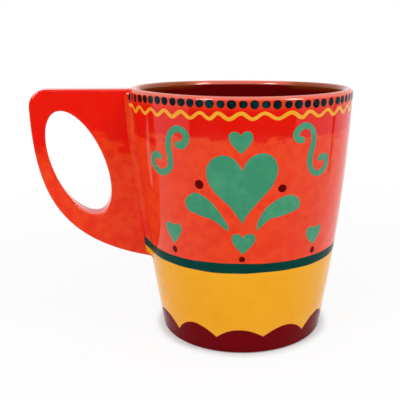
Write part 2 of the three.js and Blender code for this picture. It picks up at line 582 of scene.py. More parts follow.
@dataclass(frozen=True)
class LipGlaze(TwiceGlazeAndHaze):
    """The wall's glaze, pale on the rim, partly a thin glaze break and partly painted highlight,
    with painted brown reflection inside the rim on both sides of the mouth.
    """

    # The pale lip colour is partly a thin glaze break and partly painted highlight.
    lip_break_and_highlight: Colour = (0.77, 0.135, 0.080)
    # Colour of the painted reflection inside the rim.
    side_reflection: Colour = (0.36, 0.056, 0.002)
    share: float = 0.95
    lip_edge: Point = (106.05, 106.55)
    inner: Point = (44.2, 45.4)
    inner_top: Point = (103.0, 103.6)
    # A painted highlight on the wall just under the rim.
    rim_highlight: Point = (101.5, 104.5)
    rim_highlight_share: float = 0.65

    def tint(self, desk: Desk) -> Socket:
        """Colour of the coat, paler on the rim, partly as painted highlight.

        Args:
            desk: The material's desk.

        Returns:
            The colour.
        """
        height = desk.axes[2]
        top = desk.step(height, self.lip_edge, (0.0, self.share))
        inside = desk.step(desk.from_axis(), self.inner, (1.0, 0.0))
        inside = desk.maths("MULTIPLY", inside, desk.step(height, self.inner_top))
        brown = desk.maths("MULTIPLY", inside, painted_side_reflection(desk))
        lip_break_and_highlight = desk.blend(brown, self.lip_break_and_highlight, self.side_reflection)
        # Painted highlight under the rim, towards the paler colour.
        rim_highlight = desk.step(height, self.rim_highlight, (0.0, self.rim_highlight_share))
        wall = desk.blend(rim_highlight, super().tint(desk), self.thin)
        return desk.blend(desk.maths("MAXIMUM", top, inside), wall, lip_break_and_highlight)


@dataclass(frozen=True)
class LinerGlaze(Glaze):
    """The inside's glaze, with painted brown reflection under the rim on both sides of the mouth.
    """

    # Colour of the painted reflection under the rim.
    side_reflection: Colour = (0.22, 0.034, 0.003)
    drop: Point = (103.6, 106.0)

    def tint(self, desk: Desk) -> Socket:
        """Colour of the coat, with the two crescents of painted reflection.

        Args:
            desk: The material's desk.

        Returns:
            The colour.
        """
        near_rim = desk.step(desk.axes[2], self.drop)
        share = desk.maths("MULTIPLY", painted_side_reflection(desk), near_rim)
        return desk.blend(share, super().tint(desk), self.side_reflection)


@dataclass(frozen=True)
class RootGlaze(Glaze):
    """The red glaze at the handle's root, with the waist line and the yellow drawn over it."""

    line: Point = WAIST_LINE
    line_colour: Colour = (0.003, 0.042, 0.028)
    low_colour: Colour = (0.80, 0.33, 0.004)
    climb: float = 1.15
    soft: float = 0.2

    def tint(self, desk: Desk) -> Socket:
        """Red above the line, green across it and yellow below, climbing away from the wall.

        Args:
            desk: The material's desk.

        Returns:
            The colour.
        """
        height = desk.axes[2]
        base, slope, bend = CUP.wall_terms()
        wall = desk.maths("MULTIPLY_ADD", height, bend / MM, slope)
        wall = desk.maths("MULTIPLY_ADD", height, wall, base * MM)
        away = desk.maths("SUBTRACT", desk.from_axis(), wall)
        level = desk.maths("MULTIPLY_ADD", away, -self.climb, height)
        tint = super().tint(desk)
        low, high = self.line
        for edge, colour in ((high, self.line_colour), (low, self.low_colour)):
            below = desk.step(level, (edge - self.soft, edge + self.soft), (1.0, 0.0))
            tint = desk.blend(below, tint, colour)
        return tint


@dataclass(frozen=True)
class FiredClay:
    """Bare fired clay with grog and a dry surface. Its grains are per metre, with their octaves."""

    name: str
    colour: Colour
    speck: Colour
    clouds: float = 80.0
    cloudy: Point = (0.35, 0.65)
    cloud_share: float = 0.35
    grains: Point = (900.0, 3.0)
    grainy: Point = (0.58, 0.70)
    grain_share: float = 0.8
    grain: float = 0.00008
    roughness: float = 0.85

    def material(self) -> bpy.types.Material:
        """Lays out the nodes.

        Returns:
            The finished material.
        """
        desk = Desk(self.name)
        grain = desk.noise(*self.grains)
        cloud = desk.ramp(desk.noise(self.clouds), self.cloudy, (0.0, self.cloud_share))
        specks = desk.ramp(grain, self.grainy, (0.0, self.grain_share))
        body = desk.blend(cloud, self.colour, self.speck)
        desk.paint("Base Color", desk.blend(specks, body, self.speck))
        desk.paint("Roughness", self.roughness)
        desk.paint("Normal", desk.bump(grain, self.grain))
        return desk.material


RED = LipGlaze("red_glaze", (0.74, 0.004, 0.002), (0.84, 0.055, 0.011), patchy=0.3)
# The handle's deep red is lighter than the wall's: painted light against the shade near the wall.
HANDLE_RED = TwiceGlazeAndHaze(
    "handle_red_glaze", (0.80, 0.006, 0.003), (0.86, 0.056, 0.011),
    patchy=0.5, swell=0.00013, edge=(79.5, 85.0), rise=9.0,
)
ROOT_RED = RootGlaze(
    "root_glaze", (0.79, 0.016, 0.004), (0.84, 0.066, 0.012), gloss=0.22, patchy=0.8, mottle=320.0
)
YELLOW = Glaze("yellow_glaze", (0.88, 0.386, 0.011), (0.91, 0.430, 0.020), gloss=0.18)
WAVE_YELLOW = Glaze("wave_yellow_glaze", (0.83, 0.37, 0.020), (0.86, 0.44, 0.050), gloss=0.2)
MAROON = Glaze("maroon_glaze", (0.152, 0.0005, 0.003), (0.172, 0.001, 0.004), gloss=0.03)
LINER = LinerGlaze("liner_maroon_glaze", (0.140, 0.001, 0.001), (0.165, 0.002, 0.002), gloss=0.06)
BERRY = Glaze("berry_glaze", (0.11, 0.0008, 0.001), (0.14, 0.002, 0.002), gloss=0.05)
LINE_GREEN = Glaze("line_green_glaze", (0.0015, 0.044, 0.034), (0.003, 0.058, 0.046), gloss=0.03)
DOT_GREEN = Glaze(
    "dot_green_glaze", (0.001, 0.008, 0.010), (0.003, 0.050, 0.052), gloss=0.04, patchy=0.9
)
TEAL = Glaze(
    "teal_glaze", (0.040, 0.262, 0.138), (0.064, 0.322, 0.178), patchy=0.9, mottle=330.0
)
CLAY = FiredClay("fired_clay", (0.58, 0.36, 0.23), (0.36, 0.20, 0.12))


@functools.cache
def covering(finish: Glaze | FiredClay) -> bpy.types.Material:
    """A finish's material, made once."""
    return finish.material()


def show(name: str, data: bpy.types.ID) -> bpy.types.Object:
    """Adds an object to the scene.

    Args:
        name: Its name.
        data: What it shows.

    Returns:
        The object.
    """
    thing = bpy.data.objects.new(name, data)
    bpy.context.scene.collection.objects.link(thing)
    return thing


def meshed(bm: BMesh, name: str, material: bpy.types.Material) -> bpy.types.Object:
    """Adds a form to the scene.

    Args:
        bm: The form, in metres. It is freed.
        name: Its name.
        material: What it is made of.

    Returns:
        The object.
    """
    mesh = bpy.data.meshes.new(name)
    bm.to_mesh(mesh)
    bm.free()
    mesh.materials.append(material)
    return show(name, mesh)


def settle(
    bm: BMesh,
    name: str,
    finish: Glaze | FiredClay,
    node: Node | None = None,
    crease: float = 40.0,
) -> bpy.types.Object:
    """Puts a modelled piece in the frame and dresses it.

    Args:
        bm: The piece, in millimetres about the cup's axis. It is freed.
        name: The piece's name.
        finish: What it is covered with.
        node: The solid that it stands for.
        crease: Degrees past which an edge stays crisp.

    Returns:
        The finished object.
    """
    open_edges = sum(not e.is_manifold for e in bm.edges)
    volume = bm.calc_volume(signed=True) * MM
    log.info("%s: %d faces, %d open edges, %.2f ml", name, len(bm.faces), open_edges, volume)
    bmesh.ops.scale(bm, vec=(MM, MM, MM), verts=bm.verts)
    bmesh.ops.translate(bm, vec=(CUP.axis_x * MM, 0, 0), verts=bm.verts)
    piece = meshed(bm, name, covering(finish))
    piece.data.shade_smooth()
    piece.data.set_sharp_from_angle(angle=math.radians(crease))
    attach(piece, "root")
    if node:
        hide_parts(node.value)
    return piece


def face_out(bm: BMesh) -> None:
    """Turns all faces of a closed body outwards.

    Args:
        bm: The body.
    """
    bmesh.ops.recalc_face_normals(bm, faces=bm.faces)
    if bm.calc_volume(signed=True) < 0:
        bmesh.ops.reverse_faces(bm, faces=bm.faces)


def tidy(bm: BMesh) -> None:
    """Merges doubled points and turns all faces outwards."""
    bmesh.ops.remove_doubles(bm, verts=bm.verts, dist=MERGE)
    face_out(bm)


def spin(profile: Sequence[Point], steps: int, looped: bool) -> BMesh:
    """Turns a profile about the axis.

    Args:
        profile: Radius and height of its points.
        steps: Sides of the turned form.
        looped: Whether the last point joins the first.

    Returns:
        The turned form.
    """
    bm = bmesh.new()
    verts = [bm.verts.new((0, -r, z)) for r, z in profile]
    pairs = list(zip(verts, verts[1:])) + ([(verts[-1], verts[0])] if looped else [])
    geom = verts + [bm.edges.new(p) for p in pairs]
    bmesh.ops.spin(
        bm, geom=geom, cent=(0, 0, 0), axis=(0, 0, 1), angle=FULL_TURN, steps=steps, use_merge=True
    )
    tidy(bm)
    return bm


@dataclass
class Coats:
    """The thrown cup and the coats of glaze on it.

    The clay's rows are those of its rim, its inside and its floor's corner, and the liner's those
    of the corner and the inside, on its face and its back. The line's waver, the scallops' sway and
    the cusps' dip are lengths, each with the pace of its wave and then its phase.
    """

    form: CupForm
    sides: int = 240
    row: float = 2.0
    coat: float = 0.4
    bond: float = 0.1
    film: float = 0.05
    soft: float = 0.25
    shoulder: float = 0.6
    guide: float = 100.0
    clay_rows: tuple[int, int, int] = (8, 20, 6)
    liner_face: tuple[int, int] = (16, 40)
    liner_back: tuple[int, int] = (8, 12)
    rim_face: int = 20
    rim_back: int = 10
    yellow_rows: int = 18
    line_rows: int = 4
    hem_rows: int = 10
    bare_foot: float = 0.4
    foot_round: float = 0.3
    joint: float = 40.0
    line: Point = WAIST_LINE
    line_phases: Point = (0.7, 2.1)
    line_waver: tuple[tuple[float, int, int], ...] = ((0.16, 3, 1), (0.10, 7, 2), (0.05, 19, 3))
    scallops: int = 12
    scallop_steps: int = 24
    scallop_rise: float = 4.8
    scallop_sway: Point = (0.55, 2.4)
    cusp: float = 7.2
    cusp_dip: Triple = (0.9, 1.7, 2.0)
    nudge: float = 1e-8

    def rows(self, low: float, high: float) -> list[float]:
        """Heights of the rows between two heights."""
        return spread(low, high, max(2, round((high - low) / self.row)))

    def turned(self, profile: Sequence[Point], looped: bool) -> BMesh:
        """A turned coat, with what hand work did to it.

        Args:
            profile: Radius and height of its points.
            looped: Whether the last point joins the first.

        Returns:
            The coat.
        """
        bm = spin(profile, self.sides, looped)
        for vert in bm.verts:
            x, y, z = vert.co
            out, down = self.form.by_hand(math.atan2(x, -y), z)
            grow = 1 + out / max(math.hypot(x, y), out + MERGE)
            vert.co = (x * grow, y * grow, z - down)
        return bm

    def clay(self) -> None:
        """The fired cup, bare at its foot and under its floor."""
        form, depth, r = self.form, self.coat + self.bond, self.foot_round
        recess, (rim, wall, corner) = form.foot_recess, self.clay_rows
        outer = form.outer_radius(0) - depth
        inner = outer - form.foot_width
        profile = [(0, recess), (inner / 2, recess), (inner - recess - r, recess)]
        profile += [(inner - recess / 2, recess / 2), (inner - r / 2, r / 4), (inner + r / 2, 0)]
        profile += [(outer - r, 0), (outer - r / 3, r / 4), (outer, r)]
        heights = self.rows(self.bare_foot, form.wall_top)
        profile += [(form.outer_radius(z) - depth, z) for z in heights]
        profile += form.rim_arc(depth, rim)[1:]
        profile += form.inside(form.corner_top, form.wall_top, depth, wall)[-2::-1]
        profile += form.inside_floor(depth, corner)[-2::-1]
        settle(self.turned(profile, False), "cup_clay", CLAY, Node.CUP)

    def liner(self) -> None:
        """The maroon coat inside, brushed up to just under the rim."""
        form, low, high = self.form, self.form.corner_top, self.form.wall_top
        corner, wall = self.liner_face
        face = form.inside_floor(0, corner) + form.inside(low, high, -self.film, wall)[1:]
        corner, wall = self.liner_back
        back = form.inside_floor(self.coat, corner) + form.inside(low, high, self.coat, wall)[1:]
        liner = self.turned(face + back[::-1], False)
        settle(liner, "maroon_liner", LINER, Node.LINER)

    def red(self) -> None:
        """The red coat of the upper wall, over the rim."""
        form = self.form
        sides = []
        for depth, fine in ((0.0, self.rim_face), (self.coat, self.rim_back)):
            heights = self.rows(self.joint, form.wall_top)
            wall = [(form.wall_radius(z) - depth, z) for z in heights]
            drop = form.inside(form.wall_top - self.row, form.wall_top, depth, 1)[0]
            sides.append([*wall, *form.rim_arc(depth, fine)[1:], drop])
        face, back = sides
        settle(self.turned(face + back[::-1], True), "red_coat", RED, Node.RED)

    def band(self, low: Edge, high: Edge, lift: float, rows: int, steps: int) -> BMesh:
        """A coat on the wall between two brushed edges.

        Args:
            low: Height of the lower edge at a turn.
            high: Height of the upper edge at a turn.
            lift: How far its face stands off the wall.
            rows: Number of spans over its height.
            steps: Sides of the turned form.

        Returns:
            The coat, as a closed ring.
        """
        guide, shoulder = self.guide, lift * self.shoulder
        soft = self.soft / (high(0.0) - low(0.0))
        levels = [soft / 3, *spread(soft, 1 - soft, rows), 1 - soft / 3]
        lifts = [shoulder, *[lift] * (rows + 1), shoulder]
        face = [(guide, 0.0), *((guide + h, v) for h, v in zip(lifts, levels)), (guide, 1.0)]
        back = [(guide - self.coat, v) for v in spread(1.0, 0.0, rows)]
        bm = spin(face + back, steps, True)
        for vert in bm.verts:
            x, y, share = vert.co
            turn = math.atan2(x, -y)
            bottom = low(turn)
            z = bottom + share * (high(turn) - bottom)
            vert.co = self.form.on_wall(turn, z, math.hypot(x, y) - guide)
        face_out(bm)
        return bm

    def line_edge(self, height: float, phase: float) -> Edge:
        """A brushed line's edge, drawn on the wheel with a light waver.

        Args:
            height: Its mean height.
            phase: Where its waver starts.

        Returns:
            Its height at a turn.
        """

        def edge(turn: float) -> float:
            """Height at a turn."""
            return height + sum(s * math.sin(n * turn + k * phase) for s, n, k in self.line_waver)

        return edge

    def scallop(self, turn: float) -> float:
        """The hem's brushed edge.

        Args:
            turn: Angle from the front.

        Returns:
            Its height at the turn.
        """
        across = turn * self.scallops / FULL_TURN
        place = math.floor(across + self.nudge)
        u = 2 * (across - place) - 1
        sway, pitch = self.scallop_sway
        sway *= math.sin(pitch * place) * (1 - abs(u))
        dip, pitch, phase = self.cusp_dip
        dip *= math.sin(pitch * round(across) + phase) * abs(u) ** 3
        return self.cusp + self.scallop_rise * (1 - u * u) + sway + dip

    def bands(self) -> None:
        """The yellow coat, the dark line over its joint with the red, and the scalloped hem."""
        foot, sides = self.bare_foot, self.sides
        start = foot + self.soft
        yellow = self.band(lambda _: start, lambda _: self.joint, 0.0, self.yellow_rows, sides)
        settle(yellow, "yellow_coat", YELLOW, Node.YELLOW)
        low, high = map(self.line_edge, self.line, self.line_phases)
        line = self.band(low, high, self.film, self.line_rows, sides)
        settle(line, "waist_line", LINE_GREEN, Node.LINE)
        steps = self.scallops * self.scallop_steps
        hem = self.band(lambda _: foot, self.scallop, self.film, self.hem_rows, steps)
        settle(hem, "scallop_hem", MAROON, Node.HEM)

    def build(self) -> None:
        """Makes the cup and its coats."""
        self.clay()
        self.liner()
        self.red()
        self.bands()


@dataclass
class SlabHandle:
    """The flat handle cut from a slab, and the slip that joins it to the wall."""

    form: CupForm
    reach: float = 41.0
    thickness: float = 9.5
    edge: float = 2.2
    edge_steps: int = 6
    sideways: float = 0.9
    crease: float = 50.0
    corner: float = 7.0
    corner_steps: int = 12
    top_drop: float = 0.3
    slope: float = math.radians(14)
    sweep_down: float = 35.0
    sweep_in: float = 40.0
    sweep_steps: int = 64
    seat_steps: int = 8
    hole_length: float = 45.9
    hole_width: float = 20.6
    hole_lean: float = math.radians(20)
    hole_steps: int = 96
    hole_flare: float = 1.2
    strap: float = 5.5
    top_bar: float = 8.6
    lower_root: float = 20.6
    fillet: float = 2.5
    fillet_steps: int = 13
    section_steps: int = 8
    slip_crease: float = 60.0
    bite: float = 1.5
    slip_drop: float = 0.15
    lumps: float = 0.22
    lumps_top: Point = (92.0, 98.0)
    lump_waves: tuple[Triple, ...] = ((0.55, 0.0, 1.3), (0.23, 0.4, 0.0), (1.37, 0.0, -0.8))

    @property
    def outermost(self) -> float:
        """Reach of the handle from the cup's axis."""
        return self.form.rim_radius + self.reach

    def half_hole(self) -> Point:
        """How far the leaning hole goes.

        Returns:
            Half its reach and half its height.
        """
        long, short, lean = self.hole_length / 2, self.hole_width / 2, self.hole_lean
        across = math.hypot(long * math.sin(lean), short * math.cos(lean))
        return across, math.hypot(long * math.cos(lean), short * math.sin(lean))

    @property
    def underside(self) -> float:
        """Height of the lower root at the wall."""
        return self.form.height - self.top_bar - 2 * self.half_hole()[1] - self.lower_root

    def outline(self) -> list[Point]:
        """The slab's outline, from its lower root outwards.

        Returns:
            Reach and height of its points.
        """
        form, low, top = self.form, self.underside, self.form.height
        shoulder, centre = top - self.corner, self.outermost - self.corner
        start, end = Vector((form.wall_radius(low), low)), Vector((self.outermost, shoulder))
        ahead = Vector((math.cos(self.slope), math.sin(self.slope))) * self.sweep_in
        below = end - Vector((0, self.sweep_down))
        sweep = interpolate_bezier(start, start + ahead, below, end, self.sweep_steps)
        bend = arc((centre, shoulder), self.corner, 0, QUARTER_TURN, self.corner_steps)[1:]
        along = spread(0.0, 1.0, self.corner_steps)[1:]
        bar = [(centre + (form.rim_radius - centre) * t, top - self.top_drop * t) for t in along]
        heights = spread(top - self.top_drop, low, self.seat_steps)
        seat = [(form.wall_radius(z) - self.bite, z) for z in heights]
        seat[-1] = (seat[-1][0], low - self.bite * math.tan(self.slope))
        return [tuple(p) for p in sweep] + bend + bar + seat

    def hole(self, flare: float) -> list[Point]:
        """Reach and height round the finger hole.

        Args:
            flare: How much wider it is on its lower outer side.

        Returns:
            The points.
        """
        across, tall = self.half_hole()
        reach = self.outermost - self.strap - across
        centre = Vector((reach, self.form.height - self.top_bar - tall))
        lean = Matrix.Rotation(QUARTER_TURN - self.hole_lean, 2)
        long, short = self.hole_length / 2, self.hole_width / 2
        loop = []
        for a in spread(0, FULL_TURN, self.hole_steps)[:-1]:
            aside = (short + flare * max(0.0, -math.sin(a))) * math.sin(a)
            loop.append(tuple(centre + lean @ Vector((long * math.cos(a), aside))))
        return loop

    def slab(self) -> None:
        """The slab itself, its rim and its hole rounded over, the hole cut wider behind."""
        bm = bmesh.new()
        half = self.thickness / 2
        rim = [bm.verts.new((-s, half, z)) for s, z in self.outline()]
        hole = [bm.verts.new((-s, half, z)) for s, z in self.hole(0.0)]
        cuts = []
        for pick in (max, min):
            inner = pick(range(len(hole)), key=lambda i: hole[i].co.z)
            outer = min(range(len(rim)), key=lambda i: (rim[i].co - hole[inner].co).length)
            cuts.append((outer, inner))
        for (first, inner_first), (last, inner_last) in (cuts, cuts[::-1]):
            inner = self.stretch(hole, inner_first, inner_last)
            bm.faces.new(self.stretch(rim, first, last) + inner[::-1])
        pulled = bmesh.ops.extrude_face_region(bm, geom=bm.faces[:])["geom"]
        moved = [v for v in pulled if isinstance(v, BMVert)]
        bmesh.ops.translate(bm, vec=(0, -self.thickness, 0), verts=moved)
        for vert, (s, z) in zip(hole, self.hole(self.hole_flare)):
            vert.co = (-s, half, z)
        bmesh.ops.recalc_face_normals(bm, faces=bm.faces)
        flat = {f for f in bm.faces if abs(f.normal.y) > self.sideways}
        edges = [e for e in bm.edges if sum(f in flat for f in e.link_faces) == 1]
        bmesh.ops.bevel(
            bm, geom=edges, offset=self.edge, offset_type="OFFSET", affect="EDGES",
            segments=self.edge_steps, profile=0.5, material=-1, clamp_overlap=True,
            loop_slide=True,
        )
        tidy(bm)
        slab = settle(bm, "slab_handle", HANDLE_RED, Node.HANDLE, self.crease)
        slab.modifiers.new("flat_faces", "WEIGHTED_NORMAL").keep_sharp = True

    @staticmethod
    def stretch(loop: Sequence[BMVert], first: int, last: int) -> list[BMVert]:
        """The stretch of a loop from one point on to another."""
        count = (last - first) % len(loop)
        return [loop[(first + i) % len(loop)] for i in range(count + 1)]

    def section(self, flare: float, away: float) -> list[Point]:
        """The slab's rounded section at the wall, grown by the slip's flare.

        Args:
            flare: How far the slip stands off the slab.
            away: Distance from the wall.

        Returns:
            Distance across and height of points all round, the first one again at the end.
        """
        r = self.edge + flare
        side = self.thickness / 2 + flare - r
        low = self.underside - flare + away * math.tan(self.slope) + r
        high = self.form.height - self.top_drop - self.slip_drop - r
        corners = ((side, low), (side, high), (-side, high), (-side, low))
        loop: list[Point] = []
        for i, corner in enumerate(corners):
            start = QUARTER_TURN * (i - 1)
            bend = arc(corner, r, start, start + QUARTER_TURN, self.section_steps)
            if loop:
                loop += self.straight(loop[-1], bend[0])
            loop += bend
        return loop + self.straight(loop[-1], loop[0]) + [loop[0]]

    @staticmethod
    def straight(start: Point, end: Point, spans: int = 24) -> list[Point]:
        """Points between two points, without them."""
        (x, z), shares = start, spread(0.0, 1.0, spans)[1:-1]
        return [(x + (end[0] - x) * t, z + (end[1] - z) * t) for t in shares]

    def lumpy(self, z: float, across: float) -> float:
        """How uneven the slip is that a finger smoothed.

        Args:
            z: Height.
            across: Distance from the handle's middle plane.

        Returns:
            A share between -1 and 1.
        """
        side = math.copysign(1.0, across)
        waves = [math.sin(w * z + phase + side * apart) for w, phase, apart in self.lump_waves]
        return sum(waves) / len(waves)

    def slip_rise(self, across: float) -> float:
        """How far the slip stands off the wall at a distance from the handle's middle plane."""
        flat = 1 - min(max((across - self.thickness / 2) / self.fillet, 0.0), 1.0)
        return self.fillet * (1 - math.sqrt(1 - flat * flat))

    def slip(self) -> None:
        """The slip seam, flaring from the slab to the wall in a hollow fillet."""
        rings = [(-self.bite, self.fillet)]
        for a in spread(0, QUARTER_TURN, self.fillet_steps):
            rings.append((self.fillet * (1 - math.cos(a)), self.fillet * (1 - math.sin(a))))
        sections = [self.section(flare, max(away, 0.0)) for away, flare in rings]
        around, out = len(sections[0]) - 1, len(rings) - 1
        bm = bmesh.new()
        bmesh.ops.create_grid(bm, x_segments=around, y_segments=out, size=1)
        for vert in bm.verts:
            i, step = round((vert.co.x + 1) / 2 * around), round((vert.co.y + 1) / 2 * out)
            across, z = sections[step][i]
            reach = math.sqrt(self.form.wall_radius(z) ** 2 - across**2)
            drawn, down = self.form.by_hand(math.atan2(-reach, -across), z)
            lump = self.lumps * math.sin(math.pi * step / out) * self.lumpy(z, across)
            lump *= 1 - ease(z, *self.lumps_top)
            x = -rings[step][0] - reach - drawn - lump
            vert.co = (x, across + math.copysign(lump, across), z - down)
        bmesh.ops.remove_doubles(bm, verts=bm.verts, dist=MERGE)
        bmesh.ops.holes_fill(bm, edges=[e for e in bm.edges if e.is_boundary], sides=0)
        face_out(bm)
        settle(bm, "slip_fillet", ROOT_RED, Node.SLIP, self.slip_crease)

    def build(self) -> None:
        """Makes the handle and its joint."""
        self.slab()
        self.slip()


@dataclass(frozen=True)
class Shape:
    """A brushed shape with two corners, smooth between them.

    Its points run against the clock from its first corner, and second counts up to the other.
    """

    second: int
    points: Sequence[Point]

    def outline(self, fine: int) -> list[Point]:
        """Points all round, with some more between two of the shape's own."""
        sides = self.points[: self.second + 1], [*self.points[self.second :], self.points[0]]
        return [p for side in sides for p in smooth_path(side, fine)[:-1]]


HEARTS = (
    Shape(7, [
        (-0.4, 93.4), (-1.2, 94.4), (-2.8, 94.9), (-4.2, 94.3), (-4.7, 93.0), (-4.0, 90.7),
        (-2.3, 88.5), (-0.3, 86.5), (1.3, 88.3), (3.0, 90.4), (3.8, 92.7), (3.1, 94.6),
        (1.5, 95.1), (0.3, 94.5),
    ]),
    Shape(11, [
        (0.0, 80.3), (-1.2, 82.7), (-3.6, 85.1), (-7.1, 86.0), (-10.4, 84.6), (-12.7, 81.7),
        (-13.2, 78.9), (-12.3, 74.8), (-9.3, 70.6), (-5.1, 66.7), (-2.8, 63.7), (0.2, 59.2),
        (1.9, 62.6), (4.6, 66.1), (8.4, 70.7), (11.4, 74.5), (13.1, 79.9), (12.1, 84.0),
        (9.9, 86.2), (6.9, 86.9), (3.6, 85.6), (1.2, 82.9),
    ]),
    Shape(7, [
        (-29.9, 55.8), (-31.0, 56.5), (-32.4, 56.6), (-33.8, 55.8), (-34.2, 54.3), (-33.1, 51.5),
        (-31.4, 49.3), (-29.9, 47.5), (-28.3, 49.5), (-26.4, 52.0), (-25.3, 54.7), (-25.8, 56.1),
        (-27.2, 56.7), (-28.8, 56.4),
    ]),
    Shape(7, [
        (0.3, 53.4), (-0.9, 54.7), (-2.3, 55.0), (-3.6, 54.3), (-4.0, 52.8), (-3.0, 50.2),
        (-1.2, 48.0), (0.5, 46.2), (2.2, 48.2), (4.4, 50.5), (5.4, 52.9), (4.8, 54.5),
        (3.3, 55.1), (1.4, 54.6),
    ]),
    Shape(7, [
        (31.7, 54.4), (30.6, 55.2), (29.2, 55.2), (27.9, 54.3), (27.7, 52.7), (28.7, 50.4),
        (30.4, 48.6), (32.1, 47.1), (33.8, 48.8), (35.5, 51.1), (36.1, 53.3), (35.5, 54.8),
        (34.4, 55.2), (32.8, 54.9),
    ]),
)
LEAVES = (
    Shape(9, [
        (-20.7, 69.5), (-22.3, 67.4), (-22.3, 65.3), (-21.3, 63.4), (-18.8, 62.4), (-15.4, 61.4),
        (-12.4, 60.7), (-9.3, 59.1), (-7.1, 57.2), (-5.0, 55.9), (-5.3, 58.4), (-7.1, 61.4),
        (-9.3, 64.8), (-11.6, 67.5), (-14.7, 69.8), (-18.0, 70.8),
    ]),
    Shape(7, [
        (21.8, 68.8), (18.7, 70.1), (14.9, 69.3), (11.8, 67.6), (9.0, 65.3), (7.3, 62.6),
        (5.9, 59.4), (5.8, 56.1), (8.8, 59.1), (11.0, 60.9), (14.9, 61.6), (19.5, 62.9),
        (22.2, 64.0), (23.2, 66.2),
    ]),
)
SCROLLS = (
    (2.75, [
        (-24.4, 88.9), (-22.4, 88.8), (-20.7, 91.4), (-21.3, 93.8), (-24.3, 95.0), (-27.1, 93.4),
        (-28.7, 90.3), (-28.8, 86.5), (-28.3, 82.7), (-28.8, 79.6), (-31.2, 77.6), (-33.4, 77.0),
        (-36.1, 77.8), (-38.0, 80.1), (-37.8, 82.4), (-36.1, 83.9), (-33.9, 83.3),
    ]),
    (2.5, [
        (22.1, 91.1), (20.7, 91.4), (19.5, 93.3), (20.7, 95.2), (23.2, 96.5), (25.9, 95.3),
        (27.3, 92.6), (27.3, 89.5), (26.5, 86.1), (26.1, 83.0), (26.9, 79.9), (29.0, 77.7),
        (31.3, 77.3), (34.0, 78.7), (35.0, 80.9), (34.8, 82.8), (33.2, 83.7), (31.3, 83.3),
    ]),
)
BERRIES = (
    (-16.1, 74.2, 3.5), (15.1, 72.9, 3.3), (-30.2, 45.1, 2.8), (0.1, 44.2, 2.5), (32.5, 44.6, 2.7),
)
DOT_PLACES = (
    -53.2, -51.2, -48.2, -44.3, -40.5, -36.9, -33.1, -29.5, -25.7, -22.1, -18.5, -14.9, -11.3, -7.4,
    -3.7, 0.3, 4.1, 8.1, 12.0, 16.1, 20.0, 23.7, 27.5, 31.1, 35.2, 39.6, 43.1, 46.9,
)
WAVE_TURNS = (
    -41.2, -37.2, -33.7, -29.8, -26.2, -22.4, -18.7, -14.8, -11.4, -8.4, -4.6,
    -0.4, 3.5, 7.6, 12.4, 17.5, 21.6, 24.7, 29.2, 33.6, 37.2,
)


